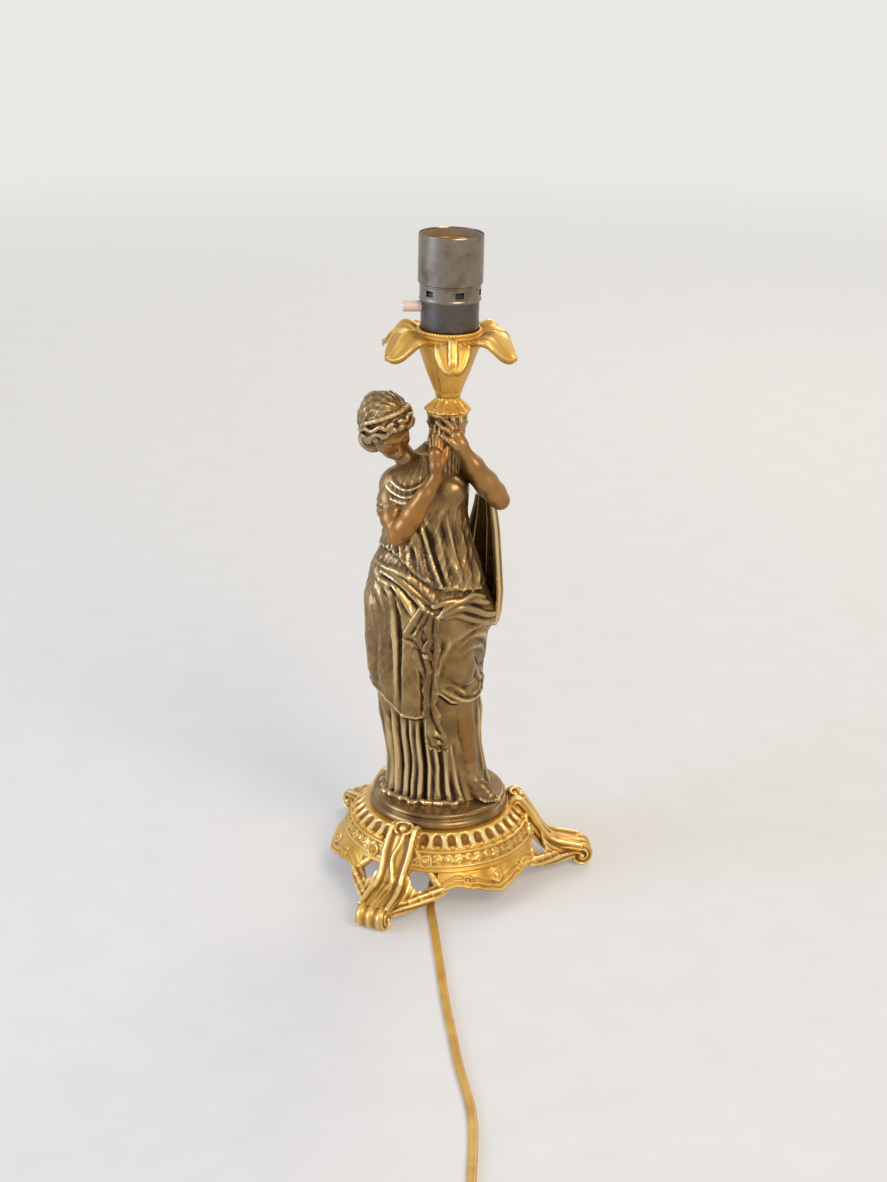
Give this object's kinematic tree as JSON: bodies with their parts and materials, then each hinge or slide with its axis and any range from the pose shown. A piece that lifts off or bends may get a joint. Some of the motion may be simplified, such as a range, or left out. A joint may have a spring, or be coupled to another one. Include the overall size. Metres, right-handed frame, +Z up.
{
  "type": "figural table lamp",
  "caption": "Table lamp with a robed standing figure that holds a torch, on a tripod scroll base, with a push-through lamp socket.",
  "frame": {"origin": "lamp's axis at table level, the common axis of rod, torch and socket", "axes": "+Z up along the axis; the figure faces -Y, which is the front; +X is to the right seen from the front"},
  "size_m": [0.1651, 0.5394, 0.396],
  "materials": {
    "gilt": "gilded cast metal, satin with darker recesses",
    "bronze": "brown patinated casting with rubbed golden highlights",
    "nickel": "dark satin nickel plate",
    "steel": "zinc plated steel",
    "brass": "bright brass",
    "copper": "copper conductor",
    "bakelite": "moulded dark insulator",
    "fibre": "tan vulcanised fibre",
    "ivory": "pinkish ivory moulding",
    "cord": "translucent amber-gold twin flex",
    "plug": "moulded gold-brown plug",
    "tie": "black tie band"
  },
  "bodies": {
    "lamp": {"foot_right": "gilt", "foot_back": "gilt", "foot_front": "gilt", "apron_front": "gilt", "apron_right": "gilt", "apron_left": "gilt", "base_dome": "gilt", "foot_screws": "steel", "apron_screws": "steel", "plinth": "bronze", "central_rod": "steel", "rod_washer": "steel", "rod_nut": "steel", "cord_bushing": "bakelite", "inner_lead": "cord", "torch": "bronze", "figure_head": "bronze", "left_arm": "bronze", "right_arm": "bronze", "figure_torso": "bronze", "figure_hips": "bronze", "figure_skirt": "bronze", "mantle_fall": "bronze", "mantle_cascade": "bronze", "left_foot": "bronze", "collar_knop": "gilt", "flower_cup": "gilt", "beaded_ring": "gilt", "socket_cap": "nickel", "socket_shell": "nickel", "socket_liner": "fibre", "socket_interior": "bakelite", "terminal_screws": "brass", "socket_wires": "copper", "screw_shell": "brass", "centre_contact": "brass", "cord_lead": "cord", "cord_coil": "cord", "cord_tail": "cord", "coil_tie": "tie", "plug_body": "plug", "plug_blades": "brass"},
    "switch": {"switch_bar": "ivory"}
  },
  "joints": [
    {"name": "switch_push", "type": "slide", "parent": "lamp", "child": "switch", "axis": [0.9925, 0.1219, 0], "range_m": [0, 0.0095]}
  ]
}
